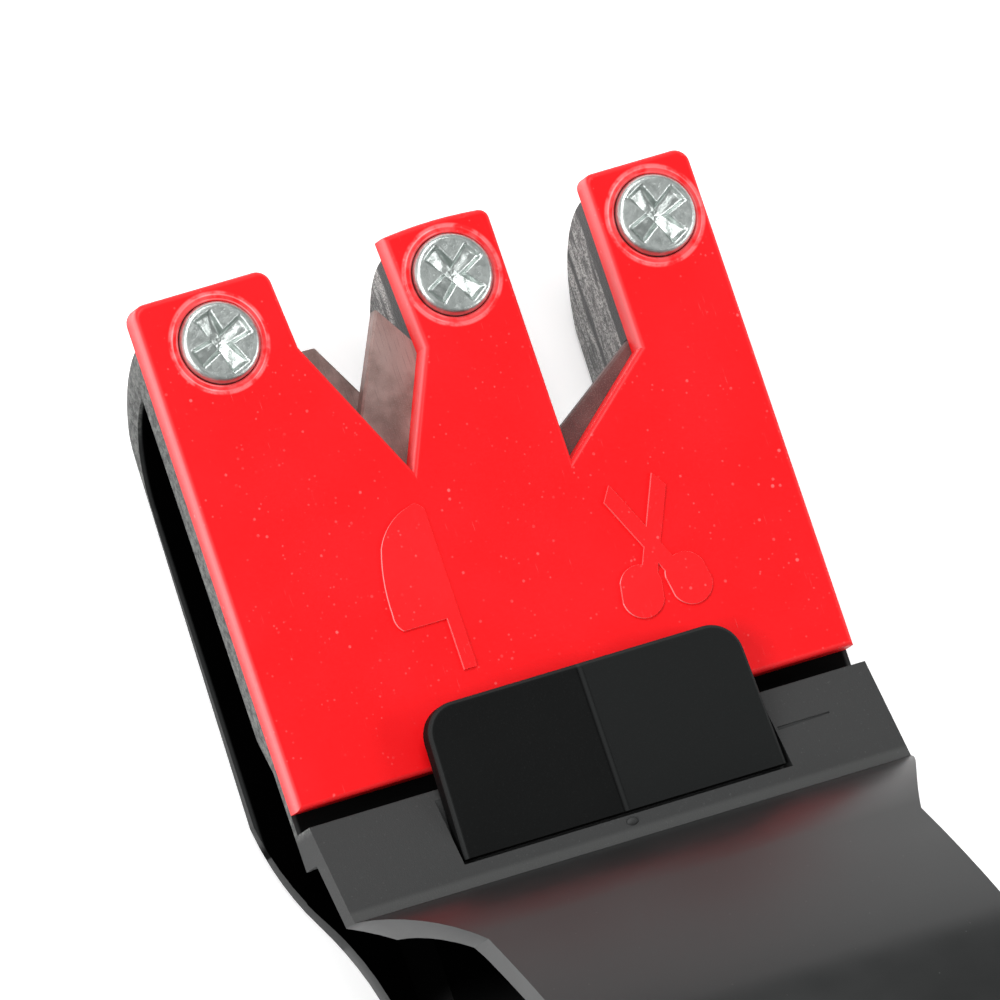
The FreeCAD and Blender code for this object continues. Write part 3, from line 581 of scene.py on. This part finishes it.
def finish_node(name, material, bevel=0.0):
    """Gives a CAD piece its finish, and softens its edges."""
    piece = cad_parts[name]
    piece.data.materials.clear()
    piece.data.materials.append(material)
    if bevel:
        weld = piece.modifiers.new("weld", "WELD")
        weld.merge_threshold = WELD_GAP * MM
        rounding = piece.modifiers.new("rounding", "BEVEL")
        rounding.width = bevel * MM
        rounding.segments = BEVEL_SEGMENTS
        rounding.limit_method = "ANGLE"
        rounding.angle_limit = math.radians(BEVEL_ANGLE)
        rounding.harden_normals = False


# ---------------------------------------------------------------- studio
# Lengths here are in metres, but the points aimed at and the sensor are in millimetres. Each lamp
# has its name, its place, the side of its square and its power in watts.
FLOOR_SPAN = 6.0
FLOOR_ROUGHNESS = 0.9
FLOOR_GLOW = 0.4
SKY_STRENGTH = 0.28
LAMP_AIM = (0.0, 45.0, 10.0)
LAMPS = (
    ("left_lamp", (-0.60, 0.05, 0.50), 0.45, 4.2),
    ("top_lamp", (-0.10, 0.60, 0.70), 0.5, 5.0),
    ("right_lamp", (0.62, -0.20, 0.45), 0.4, 2.4),
)
CAMERA_AIM = (-0.13, 49.20, PLATE_FACE)
CAMERA_BACK = (-0.3372, -0.1035, 0.9357)
CAMERA_UP = (0.2676, 0.9424, 0.2007)
CAMERA_DISTANCE = 2.0
CAMERA_NEAREST = 0.01
VIEW_WIDTH = 0.08318
SENSOR_WIDTH = 36.0


def floor_and_sky():
    """A pale floor under the tool, and even white light from all round."""
    bpy.ops.mesh.primitive_plane_add(size=FLOOR_SPAN, location=(0, 0, 0))
    floor = bpy.context.object
    floor.name = "floor"
    paint = Paint("pale_floor")
    paint.set(Base_Color=FLOOR_WHITE, Roughness=FLOOR_ROUGHNESS)
    paint.set(Emission_Color=WHITE, Emission_Strength=FLOOR_GLOW)
    floor.data.materials.append(paint.material)
    world = bpy.data.worlds.new("studio")
    bpy.context.scene.world = world
    world.use_nodes = True
    backdrop = world.node_tree.nodes["Background"]
    backdrop.inputs["Color"].default_value = (*WHITE, 1.0)
    backdrop.inputs["Strength"].default_value = SKY_STRENGTH
    bpy.context.scene.view_settings.view_transform = "Standard"


def soft_lamps():
    """Three square lamps that face the head."""
    aim = Vector(LAMP_AIM) * MM
    for name, place, size, power in LAMPS:
        lamp = bpy.data.objects.new(name, bpy.data.lights.new(name, "AREA"))
        lamp.data.shape = "SQUARE"
        lamp.data.size = size
        lamp.data.energy = power
        lamp.location = place
        lamp.rotation_euler = (aim - lamp.location).to_track_quat("-Z", "Y").to_euler()
        bpy.context.scene.collection.objects.link(lamp)


def far_camera():
    """A camera far from the head, whose lens frames VIEW_WIDTH at that distance."""
    camera = bpy.data.objects.new("camera", bpy.data.cameras.new("camera"))
    bpy.context.scene.collection.objects.link(camera)
    back = Vector(CAMERA_BACK).normalized()
    right = Vector(CAMERA_UP).cross(back).normalized()
    up = back.cross(right)
    spot = Vector(CAMERA_AIM) * MM + back * CAMERA_DISTANCE
    turned = Matrix((right, up, back)).transposed().to_4x4()
    camera.matrix_world = Matrix.Translation(spot) @ turned
    camera.data.sensor_width = SENSOR_WIDTH
    camera.data.lens = SENSOR_WIDTH * CAMERA_DISTANCE / VIEW_WIDTH
    camera.data.clip_start = CAMERA_NEAREST
    bpy.context.scene.camera = camera


def main():
    floor_and_sky()
    soft_lamps()
    far_camera()
    red = red_acetal()
    black = black_moulding()
    zinc = bright_zinc()
    knife_carbide = ground_carbide("knife_carbide", KNIFE_DULL, KNIFE_BRIGHT)
    scissors_carbide = ground_carbide("scissors_carbide", SCISSORS_DULL, SCISSORS_BRIGHT)
    finish_node("body_moulding", black, BODY_BEVEL)
    finish_node("front_plate", red, PLATE_BEVEL)
    finish_node("clip_tongue", tongue_plastic())
    finish_node("knife_blade_front", knife_carbide)
    finish_node("knife_blade_rear", knife_carbide)
    finish_node("scissors_blade", scissors_carbide)
    for where in SIDES:
        pan_screw(where, zinc)
        lip(where, red)
    gate_nub(black)


main()
